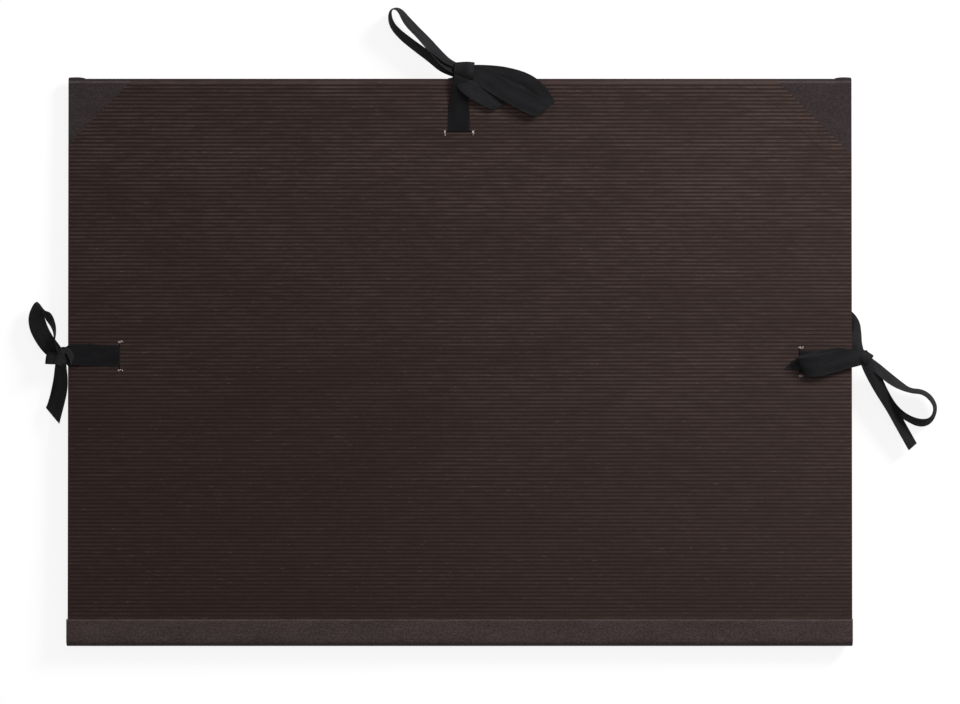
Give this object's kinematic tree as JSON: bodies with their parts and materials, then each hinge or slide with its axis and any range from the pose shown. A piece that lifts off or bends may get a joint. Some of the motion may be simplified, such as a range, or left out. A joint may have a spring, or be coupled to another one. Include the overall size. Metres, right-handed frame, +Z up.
{
  "type": "drawing portfolio",
  "caption": "Flat hinged portfolio of dark ribbed boards with a cloth spine and cloth corners, closed and tied on its open sides with black tape bows.",
  "frame": {"origin": "bottom centre of the closed portfolio without its tapes, lying on its back cover", "axes": "+X along the spine's length, -Y towards the spine, +Y towards the open edge, +Z up through the front cover"},
  "size_m": [0.8344, 0.5882, 0.0226],
  "materials": {
    "grey_board": "matt",
    "ribbed_paper": "matt",
    "book_cloth": "matt",
    "lining_paper": "matt",
    "cotton_tape": "satin"
  },
  "bodies": {
    "back_cover": {"back_board": "grey_board", "back_cover_paper": "ribbed_paper", "back_corner_left": "book_cloth", "back_corner_right": "book_cloth", "spine_cloth_back": "book_cloth", "hinge_strip_back": "book_cloth", "back_lining": "lining_paper", "top_back_ribbon": "cotton_tape", "left_back_ribbon": "cotton_tape", "right_back_ribbon": "cotton_tape"},
    "spine": {"spine_cloth": "book_cloth", "spine_lining": "book_cloth"},
    "front_cover": {"front_board": "grey_board", "front_cover_paper": "ribbed_paper", "front_corner_left": "book_cloth", "front_corner_right": "book_cloth", "spine_cloth_front": "book_cloth", "hinge_strip_front": "book_cloth", "front_lining": "lining_paper", "top_front_ribbon": "cotton_tape", "left_front_ribbon": "cotton_tape", "right_front_ribbon": "cotton_tape", "top_bow": "cotton_tape", "left_bow": "cotton_tape", "right_bow": "cotton_tape"}
  },
  "joints": [
    {"name": "spine_fold", "type": "hinge", "parent": "back_cover", "child": "spine", "pos_m": [0, -0.257, 0], "axis": [1, 0, 0], "range_deg": [0, 90]},
    {"name": "cover_fold", "type": "hinge", "parent": "spine", "child": "front_cover", "pos_m": [0, -0.257, 0.0147], "axis": [1, 0, 0], "range_deg": [0, 90]}
  ]
}
